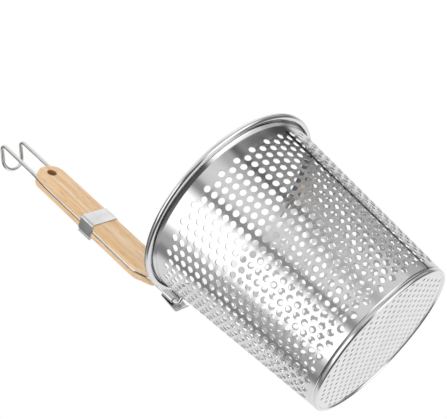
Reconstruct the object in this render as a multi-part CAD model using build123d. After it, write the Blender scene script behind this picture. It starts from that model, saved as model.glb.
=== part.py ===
"""Pasta strainer basket: perforated steel basket on a hooked wire handle with wooden grips.

Millimetres, +Z up. The origin is the centre of the underside of the base, on the surface
that the basket stands on. +X points from the basket's axis towards the handle.
"""
from build123d import *
import os
from math import asin, atan2, cos, degrees, radians, sin, sqrt, tan

os.makedirs("parts", exist_ok=True)

# Basket: a cone of steel sheet that widens upwards
SHEET = 0.7                  # thickness of the steel sheet of the wall
BASE_RADIUS = 56.7           # outside of the wall, at the height of the base's underside
RIM_RADIUS = 75.0            # outermost point of the rolled rim
RIM_HEIGHT = 138.2           # centre of the rolled rim
FLARE_WIDTH = 5.6            # from the outermost point of the roll in to where the flare begins
FLARE_DROP = 4.3             # from the centre of the roll down to where the flare begins
BEAD_RADIUS = 2.2            # outside of the roll
ROLL_FLATS = 7               # the roll's section is drawn with this many straight runs
ROLL_FLAT_TURN = 36.0        # degrees between one run and the next
ROUND_FLATS = 36             # a full turn of the wall and the base is drawn with this many flats

# Base: a shallow pressed pan whose upturned edge clasps the foot of the wall
PAN_SHEET = 0.7
PAN_FLANGE = 3.0             # height of the upturned edge
PAN_CORNER = 0.6             # bevel between the disc and the upturned edge
SEAM_CLEARANCE = 0.05        # between the foot of the wall and the pan

# Perforation, drawn coarser than the punched sheet: the same stagger with fewer, larger holes
HOLE_SIDE_COUNT = 6
WALL_HOLE = 10.0             # across the corners of a hole in the wall
HOLE_ROWS = 11
TOP_ROW_HEIGHT = 120.0
BOTTOM_ROW_HEIGHT = 14.0
BASE_HOLE = 10.0             # across the corners of a hole in the base
BASE_HOLE_PITCH = 18.0
BASE_MARGIN = 7.0            # least width of the plain ring round the holes in the base

# Handle line: it crosses the height of the rim beside the roll, then rises
HANDLE_CLEARANCE = 7.0       # from the outside of the roll to the line
HANDLE_SPLAY = 2.0           # degrees that it leans away from the basket
HANDLE_LEAN = 1.3            # degrees that it leans sideways, towards +Y
HANDLE_TWIST = 12.2          # degrees that the grip is turned about its own length

# Wire: one hairpin, whose closed end is the hook
WIRE_DIAMETER = 3.0
WIRE_SIDE_COUNT = 6          # the round section is drawn with this many flats
WIRE_SPACING = 19.0          # between the two legs, inside the grip and at the hook
NECK_SPACING = 10.0          # between the two legs, beside the rim
FOOT_DROP = 6.5              # the legs turn in to the wall this far below the rim's centre
FOOT_BEND = 3.5
NECK_START = 24.0            # distances along the handle line, from the height of the rim
NECK_END = 45.0
NECK_BEND = 22.0
HOOK_CORNER = 209.0
HOOK_REACH = 24.7            # from the corner to the closed end of the hook
HOOK_ANGLE = 31.6            # degrees that the hook turns back past square
HOOK_BEND = 3.5
HOOK_END_BEND = 9.0

# Grip: two wooden scales, one on each side of the wire
GRIP_WIDTH = 24.2
GRIP_THICKNESS = 11.9        # over both scales
GRIP_START = 17.0
GRIP_END = 162.2
GRIP_END_CORNER = 11.0
GRIP_NECK_MARGIN = 2.7       # wood outside the wire at the narrow end, beyond its centre
GRIP_NECK_CORNER = 3.0
GRIP_SHOULDER_BEND = 24.0    # rounds the outline where the grip narrows
GRIP_EDGE = 1.6              # bevel along the outer edges
SCALE_GAP = 1.5              # between the two scales
GROOVE_CLEARANCE = 0.1       # round the wire, in its grooves
HANG_HOLE = 7.2
HANG_HOLE_PLACE = 152.1

# Band: a strip of sheet wrapped round both scales, with its end lapped on the outer face
BAND_SHEET = 0.6
BAND_START = 83.9
BAND_END = 98.2
BAND_CLEARANCE = 0.05
BAND_LAP = 13.0              # width of the lapped end
BAND_LIP = 2.2               # the lapped end stands off by this much
BAND_LIP_ANGLE = 35.0

# Bracket: a plate that clasps both legs of the wire beside the rim and catches a pot's edge
BRACKET_SHEET = 0.8
BRACKET_TOP = 9.0            # distances along the handle line
BRACKET_BOTTOM = -8.5
BRACKET_CLASP = 2.0          # the edges are curled round the wire above this
BRACKET_FOOT_WIDTH = 13.0
BRACKET_ANGLE = 13.0         # degrees that the plate leans away from the wire
BRACKET_CORNER = 2.5
CLASP_CLEARANCE = 0.1
CLASP_TURN = 200.0           # degrees that each edge is curled through
CLASP_FLATS = 12             # the curl is drawn with flats, this many to a full turn

FLAT_TURN = 360 / ROUND_FLATS
wire_radius = WIRE_DIAMETER / 2
shoulder_radius = RIM_RADIUS - FLARE_WIDTH
shoulder_height = RIM_HEIGHT - FLARE_DROP
wall_slope = (shoulder_radius - BASE_RADIUS) / shoulder_height
wall_angle = degrees(atan2(shoulder_radius - BASE_RADIUS, shoulder_height))


def wall_radius(height: float) -> float:
    """Outside radius of the conical wall at a height."""
    return BASE_RADIUS + wall_slope * height


def ring(radius: float, height: float) -> list[Vector]:
    """Corners of one turn about the basket's axis, the first one repeated at the end."""
    start = Vector(radius, 0, height)
    return [start.rotate(Axis.Z, flat * FLAT_TURN) for flat in range(ROUND_FLATS + 1)]


def turned(outline: list[tuple[float, float]]) -> Solid:
    """Solid turned about the basket's axis, in flats, from a closed outline of (radius, height)."""
    faces = []
    for (radius, height), (next_radius, next_height) in zip(outline, outline[1:] + outline[:1]):
        if max(radius, next_radius) == 0:
            continue
        near, far = ring(radius, height), ring(next_radius, next_height)
        if min(radius, next_radius) == 0:
            disc = near if radius else far
            faces.append(Face(Wire.make_polygon(disc[:-1])))
            continue
        for flat in range(ROUND_FLATS):
            corners = [near[flat], near[flat + 1], far[flat + 1], far[flat]]
            faces.append(Face(Wire.make_polygon(corners)))
    return Solid(Shell(faces))


def handle_plane() -> Plane:
    """Frame of the handle: local X outwards, local Y across the grip, local Z along it."""
    along = Vector(tan(radians(HANDLE_SPLAY)), tan(radians(HANDLE_LEAN)), 1).normalized()
    square = Vector(0, 1, 0).cross(along).normalized()
    outward = square.rotate(Axis((0, 0, 0), along), -HANDLE_TWIST)
    offset_from_axis = RIM_RADIUS + HANDLE_CLEARANCE
    return Plane(origin=(offset_from_axis, 0, RIM_HEIGHT), x_dir=outward, z_dir=along)


grip_plane = handle_plane()


def on_handle(outward: float, across: float, along: float) -> Vector:
    """Point given in the handle's frame."""
    return grip_plane.from_local_coords(Vector(outward, across, along))


def make_basket_wall() -> Solid:
    """Conical wall with its necked foot, flared shoulder and rolled rim, in one sheet."""
    centre = Vector(RIM_RADIUS - BEAD_RADIUS, RIM_HEIGHT)
    roll_inside = BEAD_RADIUS - SHEET
    shoulder = Vector(shoulder_radius, shoulder_height)
    # the flare runs straight from the shoulder until it touches the roll
    reach = centre - shoulder
    flare_angle = degrees(atan2(reach.Y, reach.X) + asin(roll_inside / reach.length))
    turns = [flare_angle + 90 - step * ROLL_FLAT_TURN for step in range(ROLL_FLATS + 1)]

    def on_roll(radius: float, angle: float) -> Vector:
        return centre + Vector(radius * cos(radians(angle)), radius * sin(radians(angle)))

    crease = radians(90 - wall_angle - flare_angle)
    middle = radians((90 - wall_angle + flare_angle) / 2)
    shoulder_inside = shoulder + Vector(-sin(middle), cos(middle)) * (SHEET / cos(crease / 2))
    # the foot steps in by the thickness of the pan's edge, and stands on the pan
    step = PAN_SHEET + SEAM_CLEARANCE
    seam = PAN_FLANGE + SEAM_CLEARANCE
    level = SHEET / cos(radians(wall_angle))
    roll = [on_roll(BEAD_RADIUS, angle) for angle in turns]
    roll += [on_roll(roll_inside, angle) for angle in reversed(turns)]
    wall = turned([
        (wall_radius(seam), seam),
        (wall_radius(seam) - step, seam),
        (wall_radius(step) - step, step),
        (wall_radius(step) - step - level, step),
        (wall_radius(seam + SHEET) - step - level, seam + SHEET),
        (wall_radius(seam + SHEET) - level, seam + SHEET),
        (shoulder_inside.X, shoulder_inside.Y),
        *[(point.X, point.Y) for point in roll],
        (shoulder.X, shoulder.Y),
    ])
    # a column of holes down the middle of each flat, and every other row moved on by one flat
    middle_share = cos(radians(FLAT_TURN / 2))
    punch = extrude(RegularPolygon(WALL_HOLE / 2, HOLE_SIDE_COUNT), 3 * SHEET, both=True)
    punches = []
    for row in range(HOLE_ROWS):
        height = TOP_ROW_HEIGHT - row * (TOP_ROW_HEIGHT - BOTTOM_ROW_HEIGHT) / (HOLE_ROWS - 1)
        depth = wall_radius(height) * middle_share - SHEET / 2
        place = Pos(depth, 0, height) * Rot(0, 90 + wall_angle, 0)
        for flat in range(row % 2, ROUND_FLATS, 2):
            punches.append(Rot(0, 0, (flat + 0.5) * FLAT_TURN) * place * punch)
    return wall - punches


def make_base_plate() -> Solid:
    """Perforated disc with its edge turned up round the foot of the wall."""
    edge, top = wall_radius(0), wall_radius(PAN_FLANGE)
    pan = turned([
        (0, 0),
        (edge - PAN_CORNER, 0),
        (wall_radius(PAN_CORNER), PAN_CORNER),
        (top, PAN_FLANGE),
        (top - PAN_SHEET, PAN_FLANGE),
        (wall_radius(PAN_SHEET) - PAN_SHEET, PAN_SHEET),
        (0, PAN_SHEET),
    ])
    punch = extrude(RegularPolygon(BASE_HOLE / 2, HOLE_SIDE_COUNT), 2 * PAN_SHEET, both=True)
    # the middle of the disc lies between three holes
    reach = edge - BASE_MARGIN - BASE_HOLE / 2
    span = int(2 * reach / BASE_HOLE_PITCH)
    middle = Vector(BASE_HOLE_PITCH / 2, BASE_HOLE_PITCH / 2 * tan(radians(30)))
    column_step = Vector(BASE_HOLE_PITCH, 0)
    row_step = column_step.rotate(Axis.Z, 60)
    punches = []
    for row in range(-span, span + 1):
        for column in range(-span, span + 1):
            place = middle + column_step * column + row_step * row
            if place.length < reach:
                punches.append(Pos(place) * punch)
    return pan - punches


def leg_points(side: int) -> list[Vector]:
    """Corners of one leg of the wire, from the wall to the closed end of the hook."""
    neck, leg = side * NECK_SPACING / 2, side * WIRE_SPACING / 2
    turn = on_handle(0, neck, -FOOT_DROP)
    foot = Vector(sqrt(wall_radius(turn.Z) ** 2 - turn.Y ** 2) - SHEET, turn.Y, turn.Z)
    back = HOOK_REACH * sin(radians(HOOK_ANGLE))
    out = HOOK_REACH * cos(radians(HOOK_ANGLE))
    return [
        foot,
        turn,
        on_handle(0, neck, NECK_START),
        on_handle(0, leg, NECK_END),
        on_handle(0, leg, HOOK_CORNER),
        on_handle(out, leg, HOOK_CORNER - back),
    ]


def wire_solid(radius: float) -> Solid:
    """Hairpin wire of a given radius, with the hook at its closed end."""
    points = leg_points(1) + list(reversed(leg_points(-1)))
    bends = [FOOT_BEND, NECK_BEND, NECK_BEND, HOOK_BEND, HOOK_END_BEND]
    path = FilletPolyline(*points, radius=bends + list(reversed(bends)))
    start = Plane(origin=path @ 0, z_dir=path % 0)
    return sweep(start * RegularPolygon(radius, WIRE_SIDE_COUNT), path=path)


def make_handle_wire() -> Solid:
    """The wire, with its two ends cut to the wall that they are welded to."""
    inside = turned([(0, 0), (BASE_RADIUS, 0), (wall_radius(RIM_HEIGHT), RIM_HEIGHT), (0, RIM_HEIGHT)])
    return wire_solid(wire_radius) - inside


def grip_outline() -> Face:
    """Outline of a scale, across and along the handle."""
    wide, narrow = GRIP_WIDTH / 2, NECK_SPACING / 2 + GRIP_NECK_MARGIN
    with BuildSketch() as outline:
        with BuildLine():
            Polyline(
                (-narrow, GRIP_START),
                (narrow, GRIP_START),
                (narrow, NECK_START),
                (wide, NECK_END),
                (wide, GRIP_END),
                (-wide, GRIP_END),
                (-wide, NECK_END),
                (-narrow, NECK_START),
                (-narrow, GRIP_START),
            )
        make_face()
        chamfer(outline.vertices().group_by(Axis.Y)[0], GRIP_NECK_CORNER)
        fillet(outline.vertices().group_by(Axis.Y)[-1], GRIP_END_CORNER)
        shoulders = outline.vertices().filter_by(
            lambda point: abs(point.Y - NECK_START) < 0.01 or abs(point.Y - NECK_END) < 0.01
        )
        fillet(shoulders, GRIP_SHOULDER_BEND)
    return outline.face()


def make_scale(side: int) -> Solid:
    """One wooden scale: side is 1 for the outer one and -1 for the one nearer the basket."""
    thickness = (GRIP_THICKNESS - SCALE_GAP) / 2
    # the outline's X runs across the grip and its Y along it
    face_plane = Plane(origin=(side * SCALE_GAP / 2, 0, 0), x_dir=(0, side, 0), z_dir=(side, 0, 0))
    scale = extrude(face_plane * grip_outline(), thickness)
    outer_edges = scale.edges().group_by(Axis.X)[-1 if side > 0 else 0]
    scale = chamfer(outer_edges, GRIP_EDGE)
    bore = Pos(0, 0, HANG_HOLE_PLACE) * Rot(0, 90, 0) * Cylinder(HANG_HOLE / 2, 2 * GRIP_THICKNESS)
    placed = Location(grip_plane) * (scale - bore)
    return placed - wire_solid(wire_radius + GROOVE_CLEARANCE)


def make_grip_band() -> Solid:
    """Strip wrapped round both scales, its end lapped on the outer face and sprung off it."""
    width = GRIP_WIDTH + 2 * BAND_CLEARANCE
    depth = GRIP_THICKNESS + 2 * BAND_CLEARANCE
    blank = Rectangle(depth, width)
    inner = chamfer(blank.vertices(), GRIP_EDGE)
    outer = offset(inner, BAND_SHEET, kind=Kind.INTERSECTION)
    band = extrude(outer - inner, BAND_END - BAND_START)
    face = depth / 2 + BAND_SHEET
    lap_start = width / 2 - GRIP_EDGE
    lap = Pos(face + BAND_SHEET / 2, lap_start - BAND_LAP / 2, 0) * Rectangle(BAND_SHEET, BAND_LAP)
    lip = Pos(face, lap_start, 0) * Rot(0, 0, -BAND_LIP_ANGLE) * Rectangle(
        BAND_SHEET, BAND_LIP, align=(Align.MIN, Align.MIN)
    )
    lapped = extrude(lap + lip, BAND_END - BAND_START)
    return Location(grip_plane) * Pos(0, 0, BAND_START) * (band + lapped)


def make_rim_bracket() -> Solid:
    """Plate outside the two legs, its edges curled round them, that slopes away from the wall."""
    inner = wire_radius + CLASP_CLEARANCE
    outer = inner + BRACKET_SHEET
    half_top = NECK_SPACING / 2 + outer
    half_foot = BRACKET_FOOT_WIDTH / 2
    length = BRACKET_TOP - BRACKET_BOTTOM
    with BuildSketch() as outline:
        with BuildLine():
            Polyline(
                (-half_top, 0),
                (half_top, 0),
                (half_top, BRACKET_CLASP - BRACKET_TOP),
                (half_foot, -length),
                (-half_foot, -length),
                (-half_top, BRACKET_CLASP - BRACKET_TOP),
                (-half_top, 0),
            )
        make_face()
        fillet(outline.vertices().group_by(Axis.Y)[0], BRACKET_CORNER)
    plate = extrude(outline.face(), BRACKET_SHEET)
    # plate stands with its inner face on the wire, then leans away below its top edge
    stand = Plane(origin=(inner, 0, BRACKET_TOP), x_dir=(0, 1, 0), z_dir=(1, 0, 0))
    plate = Location(stand) * Rot(-BRACKET_ANGLE, 0, 0) * plate
    clasps = []
    for side in (1, -1):
        ring = RegularPolygon(outer, CLASP_FLATS, major_radius=False)
        ring -= RegularPolygon(inner, CLASP_FLATS, major_radius=False)
        cover = Rot(0, 0, side * 90 - CLASP_TURN / 2) * make_face(
            Polyline((0, 0), (2 * outer, 0), (0, 2 * outer), (0, 0))
        )
        curl = ring - cover
        height = BRACKET_TOP - BRACKET_CLASP
        clasps.append(Pos(0, side * NECK_SPACING / 2, BRACKET_CLASP) * extrude(curl, height))
    return Location(grip_plane) * (plate + clasps)


PIECES = {
    "basket_wall": make_basket_wall,
    "base_plate": make_base_plate,
    "handle_wire": make_handle_wire,
    "inner_scale": lambda: make_scale(-1),
    "outer_scale": lambda: make_scale(1),
    "grip_band": make_grip_band,
    "rim_bracket": make_rim_bracket,
}

for name, make in PIECES.items():
    export_step(make(), f"parts/{name}.step")
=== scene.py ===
"""Looks of the pasta strainer basket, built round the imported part.

Metres, in the part's own frame: +Z is up along the basket's axis, +X points at the handle,
and the origin is the centre of the underside of the base.
"""
import logging
import math
from collections.abc import Callable
from dataclasses import dataclass, field
from enum import Enum

import bmesh
import bpy
from mathutils import Matrix, Vector


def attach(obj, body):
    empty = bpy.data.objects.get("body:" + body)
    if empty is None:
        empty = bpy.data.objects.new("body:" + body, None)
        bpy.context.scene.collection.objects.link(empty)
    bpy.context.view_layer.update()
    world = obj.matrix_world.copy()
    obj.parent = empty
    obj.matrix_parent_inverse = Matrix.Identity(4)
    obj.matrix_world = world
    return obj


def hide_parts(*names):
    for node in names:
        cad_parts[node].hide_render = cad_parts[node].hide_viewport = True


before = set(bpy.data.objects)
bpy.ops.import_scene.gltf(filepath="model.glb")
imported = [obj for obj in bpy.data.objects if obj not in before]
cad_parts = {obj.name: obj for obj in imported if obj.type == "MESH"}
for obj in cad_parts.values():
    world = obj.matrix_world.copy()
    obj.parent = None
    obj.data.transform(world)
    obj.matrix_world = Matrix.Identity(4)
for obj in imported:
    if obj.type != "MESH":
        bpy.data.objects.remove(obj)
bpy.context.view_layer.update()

Socket = bpy.types.NodeSocket
Piece = bpy.types.Object
Finish = bpy.types.Material
Mesh = bmesh.types.BMesh
Colour = tuple[float, float, float]

MM = 0.001
PHOTO_WIDTH = 447
PHOTO_HEIGHT = 419
ROOT = "root"
SHEET_WELD = 0.01 * MM      # doubles nearer than this are merged in the wall and the base
FINE_WELD = 0.001 * MM      # the same, in the smaller pieces
log = logging.getLogger("strainer")


class Slot(Enum):
    """Material slots of the record."""

    BASKET = "basket_steel"
    WIRE = "wire_steel"
    BAND = "band_steel"
    GRIP = "grip_wood"


class Node(Enum):
    """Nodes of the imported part."""

    WALL = "basket_wall"
    BASE = "base_plate"
    WIRE = "handle_wire"
    INNER_SCALE = "inner_scale"
    OUTER_SCALE = "outer_scale"
    BAND = "grip_band"
    BRACKET = "rim_bracket"


class Side(Enum):
    """The two scales of the grip: the one nearer the basket, and the outer one."""

    INNER = -1
    OUTER = 1


# ---------------------------------------------------------------- node trees


def operation(kind: str) -> Callable[..., "Quantity"]:
    """A method that puts a quantity and its operands through a Math node of the given kind."""

    def method(self: "Quantity", *others: "Quantity | float") -> "Quantity":
        return self.maths(kind, *others)

    return method


class Quantity:
    """A number in a node tree, with the usual arithmetic."""

    def __init__(self, tree: bpy.types.NodeTree, socket: Socket) -> None:
        """Wraps one output socket of a tree."""
        self.tree = tree
        self.socket = socket

    def maths(self, operation: str, *others: "Quantity | float") -> "Quantity":
        """Result of a Math node, with this and the others as its operands."""
        node = self.tree.nodes.new("ShaderNodeMath")
        node.operation = operation
        self.tree.links.new(self.socket, node.inputs[0])
        for place, other in enumerate(others, start=1):
            if isinstance(other, Quantity):
                self.tree.links.new(other.socket, node.inputs[place])
            else:
                node.inputs[place].default_value = other
        return Quantity(self.tree, node.outputs[0])

    __add__, __sub__ = operation("ADD"), operation("SUBTRACT")
    __mul__, __truediv__ = operation("MULTIPLY"), operation("DIVIDE")
    above, below = operation("GREATER_THAN"), operation("LESS_THAN")    # 1 past a limit, and 0 elsewhere
    size, floor, rest = operation("ABSOLUTE"), operation("FLOOR"), operation("FLOORED_MODULO")
    sine, cosine = operation("SINE"), operation("COSINE")

    def flipped(self) -> "Quantity":
        """1 less this."""
        return self * -1.0 + 1.0

    def blend(self, other: "Quantity", share: "Quantity") -> "Quantity":
        """This where the share is 0, the other where it is 1."""
        return self + (other - self) * share


def length(x: Quantity, y: Quantity) -> Quantity:
    """Distance from the origin in a plane."""
    return (x * x + y * y).maths("SQRT")


class Tree:
    """A node tree that grows one node at a time."""

    def __init__(self, tree: bpy.types.NodeTree) -> None:
        """Wraps a node tree."""
        self.tree = tree

    def feed(self, socket: Socket, value: object) -> None:
        """Links a quantity or a socket to an input, or sets the input to a plain value."""
        if isinstance(value, Quantity):
            value = value.socket
        if isinstance(value, Socket):
            self.tree.links.new(value, socket)
        elif socket.type == "RGBA":
            socket.default_value = (*value, 1.0)
        else:
            socket.default_value = value

    def add(self, kind: str, settings: dict[str, object] | None = None, **inputs: object) -> bpy.types.Node:
        """Adds a node.

        Args:
            kind: the node's type.
            settings: its properties.
            inputs: values, quantities or sockets for its inputs, by name with _ for a space.

        Returns:
            The node.
        """
        node = self.tree.nodes.new(kind)
        for name, value in (settings or {}).items():
            setattr(node, name, value)
        for name, value in inputs.items():
            self.feed(next(s for s in node.inputs if s.name == name.replace("_", " ") and s.enabled), value)
        return node

    def quantity(self, socket: Socket) -> Quantity:
        """A socket of this tree as a number."""
        return Quantity(self.tree, socket)

    def split(self, vector: Socket) -> tuple[Quantity, Quantity, Quantity]:
        """The three coordinates of a vector."""
        x, y, z = (self.quantity(part) for part in self.add("ShaderNodeSeparateXYZ", Vector=vector).outputs)
        return x, y, z

    def step(self, value: Quantity, start: float, end: float) -> Quantity:
        """0 below the start, 1 above the end, and smooth between."""
        settings = {"interpolation_type": "SMOOTHSTEP"}
        node = self.add("ShaderNodeMapRange", settings, Value=value, From_Min=start, From_Max=end)
        return self.quantity(node.outputs["Result"])


class ShapeTree(Tree):
    """A Geometry Nodes tree with named sizes, baked to a plain mesh."""

    def __init__(self, name: str) -> None:
        """Makes an empty tree with a geometry output."""
        super().__init__(bpy.data.node_groups.new(name, "GeometryNodeTree"))
        self.tree.interface.new_socket("Geometry", in_out="OUTPUT", socket_type="NodeSocketGeometry")
        self.source = self.add("NodeGroupInput")
        self.values: dict[str, object] = {}

    def _input(self, name: str, kind: str, value: object) -> Socket:
        """Adds a named input and remembers the value that it gets."""
        item = self.tree.interface.new_socket(name, in_out="INPUT", socket_type=kind)
        self.values[item.identifier] = value
        return next(s for s in self.source.outputs if s.identifier == item.identifier)

    def size(self, name: str, value: float) -> Quantity:
        """A named size or angle."""
        return self.quantity(self._input(name, "NodeSocketFloat", float(value)))

    def count(self, name: str, value: int) -> Quantity:
        """A named whole number."""
        return self.quantity(self._input(name, "NodeSocketInt", int(value)))

    def index(self) -> Quantity:
        """Number of the point or vertex."""
        return self.quantity(self.add("GeometryNodeInputIndex").outputs[0])

    def place(self) -> tuple[Quantity, Quantity, Quantity]:
        """The three coordinates of a point."""
        return self.split(self.add("GeometryNodeInputPosition").outputs[0])

    def store(self, geometry: Socket, name: str, value: Quantity) -> Socket:
        """Keeps a number on each point under a name."""
        settings = {"data_type": "FLOAT", "domain": "POINT"}
        node = self.add("GeometryNodeStoreNamedAttribute", settings, Geometry=geometry, Name=name, Value=value)
        return node.outputs["Geometry"]

    def stored(self, name: str) -> Quantity:
        """A number kept earlier under a name."""
        node = self.add("GeometryNodeInputNamedAttribute", {"data_type": "FLOAT"}, Name=name)
        return self.quantity(next(s for s in node.outputs if s.name == "Attribute" and s.enabled))

    def move(self, geometry: Socket, x: Quantity, y: Quantity, z: Quantity) -> Socket:
        """Puts each point at new coordinates."""
        place = self.add("ShaderNodeCombineXYZ", X=x, Y=y, Z=z).outputs[0]
        return self.add("GeometryNodeSetPosition", Geometry=geometry, Position=place).outputs[0]

    def without(self, geometry: Socket, domain: str, chosen: Quantity) -> Socket:
        """A geometry less the points or faces that are chosen."""
        node = self.add("GeometryNodeDeleteGeometry", {"domain": domain}, Geometry=geometry, Selection=chosen)
        return node.outputs[0]

    def circle(self, sides: int, radius: Quantity) -> Socket:
        """A closed curve round the origin."""
        return self.add("GeometryNodeCurvePrimitiveCircle", Resolution=sides, Radius=radius).outputs[0]

    def repeat(self, points: Socket, shape: Socket) -> Socket:
        """Real copies of a shape, one on each point."""
        copies = self.add("GeometryNodeInstanceOnPoints", Points=points, Instance=shape).outputs[0]
        return self.add("GeometryNodeRealizeInstances", Geometry=copies).outputs[0]

    def join(self, *parts: Socket) -> Socket:
        """Several geometries as one."""
        node = self.add("GeometryNodeJoinGeometry")
        for part in parts:
            self.tree.links.new(part, node.inputs[0])
        return node.outputs[0]

    def bake(self, name: str, geometry: Socket, finish: Finish) -> Piece:
        """Ends the tree in Realize Instances and Set Material, and bakes it.

        Args:
            name: name of the finished object.
            geometry: what the tree has made.
            finish: the material.

        Returns:
            An object with a plain mesh and no modifier.
        """
        real = self.add("GeometryNodeRealizeInstances", Geometry=geometry).outputs[0]
        material = self._input("Finish", "NodeSocketMaterial", finish)
        dressed = self.add("GeometryNodeSetMaterial", Geometry=real, Material=material).outputs[0]
        self.tree.links.new(dressed, self.add("NodeGroupOutput").inputs[0])
        piece = new_piece(name, finish)
        modifier = piece.modifiers.new("shape", "NODES")
        modifier.node_group = self.tree
        for identifier, value in self.values.items():
            modifier[identifier] = value
        mesh = made_mesh(piece)
        piece.modifiers.remove(modifier)
        mesh.materials.clear()
        mesh.materials.append(finish)
        for face in mesh.polygons:
            face.material_index = 0
        piece.data = mesh
        return piece


# ---------------------------------------------------------------- mesh helpers


def rounded(points: list[Vector], radii: list[float], step: float = 7.5) -> list[Vector]:
    """Line through points with its inner corners rounded.

    Args:
        points: corners, two at least.
        radii: radius of each inner corner.
        step: greatest turn between two points of an arc, in degrees.

    Returns:
        The line's points.
    """
    line = [points[0].copy()]
    for place, radius in enumerate(radii, start=1):
        before, corner, after = points[place - 1], points[place], points[place + 1]
        back = (before - corner).normalized()
        ahead = (after - corner).normalized()
        turn = math.pi - back.angle(ahead)
        reach = radius * math.tan(turn / 2)
        centre = corner + (back + ahead).normalized() * (radius / math.cos(turn / 2))
        start, end = corner + back * reach - centre, corner + ahead * reach - centre
        runs = max(1, math.ceil(math.degrees(turn) / step))
        for run in range(runs + 1):
            share = run / runs
            place_on = start * math.sin((1 - share) * turn) + end * math.sin(share * turn)
            line.append(centre + place_on / math.sin(turn))
    line.append(points[-1].copy())
    return line


def join_rings(mesh: Mesh, rings: list[list[bmesh.types.BMVert]]) -> None:
    """Adds the faces between closed rings of vertices that follow one another."""
    for ring, following in zip(rings, rings[1:]):
        for place in range(len(ring)):
            after = (place + 1) % len(ring)
            mesh.faces.new([ring[place], ring[after], following[after], following[place]])


def add_turned(mesh: Mesh, line: list[Vector], azimuths: list[float]) -> None:
    """Adds a section, as (radius, height) points, turned about the axis at the given azimuths."""
    rings = [[mesh.verts.new((p.x * math.cos(a), p.x * math.sin(a), p.y)) for a in azimuths] for p in line]
    join_rings(mesh, rings)


def new_piece(name: str, finish: Finish) -> Piece:
    """An empty mesh object at the origin, in its finish."""
    piece = bpy.data.objects.new(name, bpy.data.meshes.new(name))
    bpy.context.scene.collection.objects.link(piece)
    piece.data.materials.append(finish)
    return piece


def made_mesh(piece: Piece) -> bpy.types.Mesh:
    """What an object's modifiers or its curve make, as a plain mesh."""
    bpy.context.view_layer.update()
    graph = bpy.context.evaluated_depsgraph_get()
    return bpy.data.meshes.new_from_object(piece.evaluated_get(graph))


def opened(mesh: bpy.types.Mesh) -> Mesh:
    """A copy of a mesh that can be worked on."""
    copy = bmesh.new()
    copy.from_mesh(mesh)
    return copy


def fill(piece: Piece, mesh: Mesh) -> None:
    """Gives an object a mesh, with its faces turned out, and frees the mesh."""
    bmesh.ops.recalc_face_normals(mesh, faces=mesh.faces)
    mesh.to_mesh(piece.data)
    mesh.free()


def combine(piece: Piece, operation: str, other: Piece) -> None:
    """Joins another object to this one, or cuts it out of this one, and removes it."""
    change = piece.modifiers.new("combine", "BOOLEAN")
    change.operation = operation
    change.solver = "EXACT"
    change.object = other
    mesh = made_mesh(piece)
    piece.modifiers.clear()
    piece.data = mesh
    bpy.data.objects.remove(other)


def finish_mesh(mesh: Mesh, piece: Piece, weld: float, sharp: float) -> None:
    """Closes a mesh's seams, turns its faces out and shades it.

    Args:
        mesh: the mesh, which is freed.
        piece: object that gets it.
        weld: doubles nearer than this are merged.
        sharp: edges that turn more than this many degrees stay sharp.
    """
    bmesh.ops.remove_doubles(mesh, verts=mesh.verts, dist=weld)
    for face in mesh.faces:
        face.smooth = True
    fill(piece, mesh)
    piece.data.set_sharp_from_angle(angle=math.radians(sharp))
    piece.data.update()


def hand_over(piece: Piece, node: Node) -> None:
    """Attaches a finished piece to the root body, hides the imported node that it stands for, and logs its
    triangles.
    """
    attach(piece, ROOT)
    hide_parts(node.value)
    triangles = sum(len(face.vertices) - 2 for face in piece.data.polygons)
    log.info("%s: %d triangles", piece.name, triangles)


# ---------------------------------------------------------------- finishes


class Shader(Tree):
    """A node material with one Principled BSDF, built one named step at a time."""

    def __init__(self, name: str) -> None:
        """Makes the material."""
        self.material = bpy.data.materials.new(name)
        self.material.use_nodes = True
        super().__init__(self.material.node_tree)
        self.surface = self.tree.nodes["Principled BSDF"]
        self.coordinates = self.add("ShaderNodeTexCoord").outputs["Object"]

    def mapped(self, scale: Colour, turn: Matrix | None = None, start: Vector | None = None) -> Socket:
        """Object coordinates in a frame of their own.

        Args:
            scale: repeats per metre along each axis of the frame.
            turn: the frame's axes.
            start: its origin.

        Returns:
            The coordinates' socket.
        """
        back = turn.transposed() if turn else Matrix.Identity(3)
        turned = self.add("ShaderNodeMapping", Vector=self.coordinates, Rotation=back.to_euler(),
                          Location=-(back @ (start or Vector())))
        return self.add("ShaderNodeMapping", Vector=turned.outputs[0], Scale=scale).outputs[0]

    def noise(self, where: Socket, scale: float, detail: float = 3.0, rough: float = 0.5) -> Quantity:
        """Factor of a noise texture."""
        node = self.add("ShaderNodeTexNoise", Vector=where, Scale=scale, Detail=detail, Roughness=rough)
        return self.quantity(node.outputs["Fac"])

    def spread(self, value: Quantity, low: float, high: float, first: float = 0.3, last: float = 0.7) -> Quantity:
        """A factor between first and last, spread between low and high."""
        node = self.add("ShaderNodeMapRange", Value=value, From_Min=first, From_Max=last, To_Min=low, To_Max=high)
        return self.quantity(node.outputs["Result"])

    def mix(self, factor: Quantity, one: object, other: object) -> Socket:
        """A colour between two, each a colour or a socket."""
        node = self.add("ShaderNodeMix", {"data_type": "RGBA"})
        for place, value in ((0, factor), (6, one), (7, other)):
            self.feed(node.inputs[place], value)
        return node.outputs[2]

    def bump(self, height: Quantity, distance: float, strength: float, before: Socket | None = None) -> Socket:
        """A normal bent by a height, on top of an earlier one."""
        node = self.add("ShaderNodeBump", Distance=distance, Strength=strength, Height=height)
        if before:
            self.feed(node.inputs["Normal"], before)
        return node.outputs["Normal"]

    def set(self, name: str, value: object) -> None:
        """Sets or links one socket of the surface."""
        self.feed(self.surface.inputs[name], value)


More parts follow.
